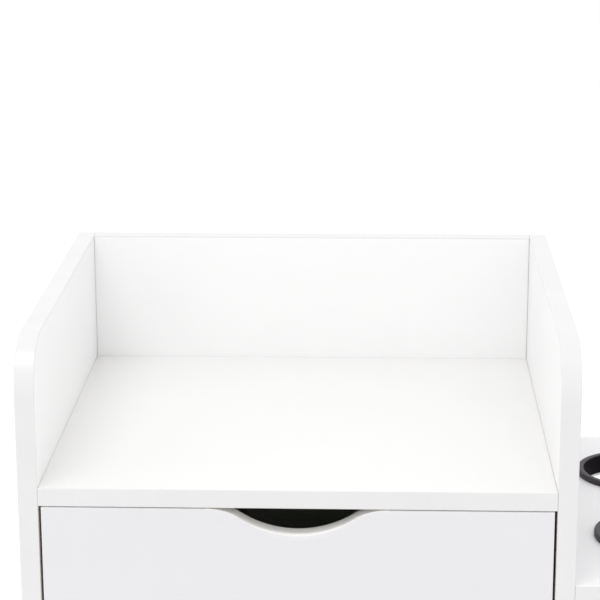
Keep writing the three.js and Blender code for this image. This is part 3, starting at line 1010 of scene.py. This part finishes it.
def wheelCentre(place):
    return place + Vector((0, -wheelSizes["trail"], wheelSizes["radius"]))


def addTread(name, centre):
    sizes = wheelSizes
    node = f"castor_{name}_wheel"
    radius, half = sizes["radius"], sizes["width"] / 2
    inner = radius - sizes["tread"]
    profile = [(inner, -half), (radius, -half), (radius, half), (inner, half)]
    bm = bmesh.new()
    addSpun(bm, profile, centre, axisX, axisZ, 96, [(1, sizes["treadRound"]), (2, sizes["treadRound"])])
    finishPiece(bm, f"castor_{name}_tread", node, ["treadRubber"], [node], smooth=50)


def addHub(name, centre):
    sizes = wheelSizes
    half, hub, web = sizes["width"] / 2, sizes["hubWidth"] / 2, sizes["web"]
    rim = sizes["radius"] - sizes["tread"] - sizes["play"]
    wall, lip = rim - sizes["rimWall"], half - sizes["rimInset"]
    bore, boss = sizes["axleHole"], sizes["boss"]
    left = [(bore, -hub), (boss, -hub), (boss, -web), (wall, -web), (wall, -lip), (rim, -lip)]
    right = [(r, -x) for r, x in reversed(left)]
    edge, corner = sizes["edgeRound"], sizes["cornerRound"]
    rounding = [(1, edge), (2, corner), (3, corner), (4, edge)]
    last = 2 * len(left) - 1
    rounding += [(last - number, radius) for number, radius in reversed(rounding)]
    bm = bmesh.new()
    addSpun(bm, left + right, centre, axisX, axisZ, 72, rounding)
    thick = sizes["ribThick"] / 2
    for side in (-1, 1):
        for i in range(sizes["ribs"]):
            draft = bmesh.new()
            ends = sorted((side * web * 0.8, side * (half - sizes["ribInset"])))
            foot, top = boss - sizes["ribFoot"], rim - sizes["ribTop"]
            addBox(draft, (ends[0], -thick, foot), (ends[1], thick, top))
            soften(draft, sizes["ribRound"])
            turn = Matrix.Rotation(i * 2 * math.pi / sizes["ribs"], 4, "X")
            joinInto(bm, draft, Matrix.Translation(centre) @ turn)
    finishPiece(bm, f"castor_{name}_hub", f"castor_{name}_wheel", ["hubPlastic"])


axleSizes = {
    "legOuter": 0.0148,
    "play": 0.0003,
    "shank": 0.003,
    "tipRadius": 0.0022,
    "headEnd": 0.004,
    "nutEnd": 0.0028,
    "tipEnd": 0.0036,
    "washer": (0.0031, 0.0062, 0.0007),  # hole, radius, thickness
    "washerRound": 0.0002,
    "seat": 0.0008,  # of the head and the nut, from the fork's leg
    "hexagon": 0.0056,
    "hexagonRound": 0.00035,
    "head": 0.0034,
    "nut": 0.0022,
}


def addAxle(name, centre):
    sizes = axleSizes
    node = f"castor_{name}_axle"
    face = sizes["legOuter"] + sizes["play"]
    shank, tip = sizes["shank"], sizes["tipRadius"]
    headX, nutX, tipX = -face - sizes["headEnd"], face + sizes["nutEnd"], face + sizes["tipEnd"]
    bm = bmesh.new()
    addSpun(bm, [(0, headX), (shank, headX), (shank, nutX), (tip, tipX), (0, tipX)], centre, axisX, axisZ, 32)
    hole, broad, thin = sizes["washer"]
    for side, thick in ((-1, sizes["head"]), (1, sizes["nut"])):
        near, far = side * face, side * (face + thin)
        washer = [(hole, near), (broad, near), (broad, far), (hole, far)]
        addSpun(bm, washer, centre, axisX, axisZ, 40, [(2, sizes["washerRound"])])
        hexagon = bmesh.new()
        bmesh.ops.create_circle(hexagon, cap_ends=True, segments=6, radius=sizes["hexagon"])
        thicken(hexagon, hexagon.faces[:], Vector((0, 0, thick)))
        soften(hexagon, sizes["hexagonRound"])
        turn = (axisX * side).to_track_quat("Z", "Y").to_matrix().to_4x4()
        seat = centre + Vector((side * (face + sizes["seat"]), 0, 0))
        joinInto(bm, hexagon, Matrix.Translation(seat) @ turn)
    swivel = f"castor_{name}_swivel"
    finishPiece(bm, f"castor_{name}_axle_bolt", swivel, ["castorZinc"], [node], smooth=28)


forkSizes = {
    "edgeRound": 0.0004,
    "skirtTop": (0.0131, 0.0137, 0.0006),  # inner radius, outer radius, distance under the race
    "skirtFoot": (0.0145, 0.0138, 0.0026),  # outer radius, inner radius, distance under the race
}


def addFork(name, place):
    node = f"castor_{name}_fork"
    swivel = f"castor_{name}_swivel"
    bm = nodeCopy(node, forkSizes["edgeRound"])
    finishPiece(bm, f"{node}_pressing", swivel, ["castorZinc"], [node])
    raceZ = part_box(node)[1].z
    inner, outer, drop = forkSizes["skirtTop"]
    footOuter, footInner, footDrop = forkSizes["skirtFoot"]
    skirt = [(inner, raceZ - drop), (outer, raceZ - drop)]
    skirt += [(footOuter, raceZ - footDrop), (footInner, raceZ - footDrop)]
    bm = bmesh.new()  # a dust skirt round the upper race
    addSpun(bm, skirt, place, axisZ, axisX, 64)
    finishPiece(bm, f"castor_{name}_dust_ring", swivel, ["castorZinc"])


plateSizes = {"edgeRound": 0.0004, "steel": 0.0025, "screws": (0.023, 0.0155)}


def addPlate(name, place):
    node = f"castor_{name}_plate"
    bm = nodeCopy(node, plateSizes["edgeRound"])
    finishPiece(bm, f"{node}_pressing", "carcass", ["castorZinc"], [node])
    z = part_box(node)[1].z - plateSizes["steel"]
    reachX, reachY = plateSizes["screws"]
    seats = []
    for x in (-reachX, reachX):
        for y in (-reachY, reachY):
            seats.append((place + Vector((x, y, z)), -axisZ))
    addHeads(f"castor_{name}_screws", "carcass", broadHead, seats, "castorZinc")


pedalSizes = {
    "edgeRound": 0.0005,
    "treads": 4,
    "firstTread": 0.0018,
    "treadStep": 0.0021,
    "treadDepth": 0.001,
    "treadReach": 0.0115,
    "treadHeight": 0.0005,
    "treadFoot": 0.0003,  # into the pedal
    "treadRound": 0.0003,
}


def addBrake(name, place):
    sizes = pedalSizes
    node = f"castor_{name}_brake"
    if node not in nodes:
        return
    low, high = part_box(node)
    bm = nodeCopy(node, sizes["edgeRound"])
    for i in range(sizes["treads"]):
        y = low.y + sizes["firstTread"] + i * sizes["treadStep"]
        start = (place.x - sizes["treadReach"], y, high.z - sizes["treadFoot"])
        end = (place.x + sizes["treadReach"], y + sizes["treadDepth"], high.z + sizes["treadHeight"])
        draft = bmesh.new()
        addBox(draft, start, end)
        soften(draft, sizes["treadRound"])
        joinInto(bm, draft)
    finishPiece(bm, f"{node}_pedal", node, ["pedalPlastic"], [node])


def addCastors():
    for name in castorNames:
        place = castorPlace(name)
        centre = wheelCentre(place)
        addTread(name, centre)
        addHub(name, centre)
        addAxle(name, centre)
        addFork(name, place)
        addPlate(name, place)
        addBrake(name, place)
    print("castors made:", len(castorNames))


addCamera()
addStudio()
addCarcass()
addHolder()
addCarcassFittings()
addDrawers()
addCastors()
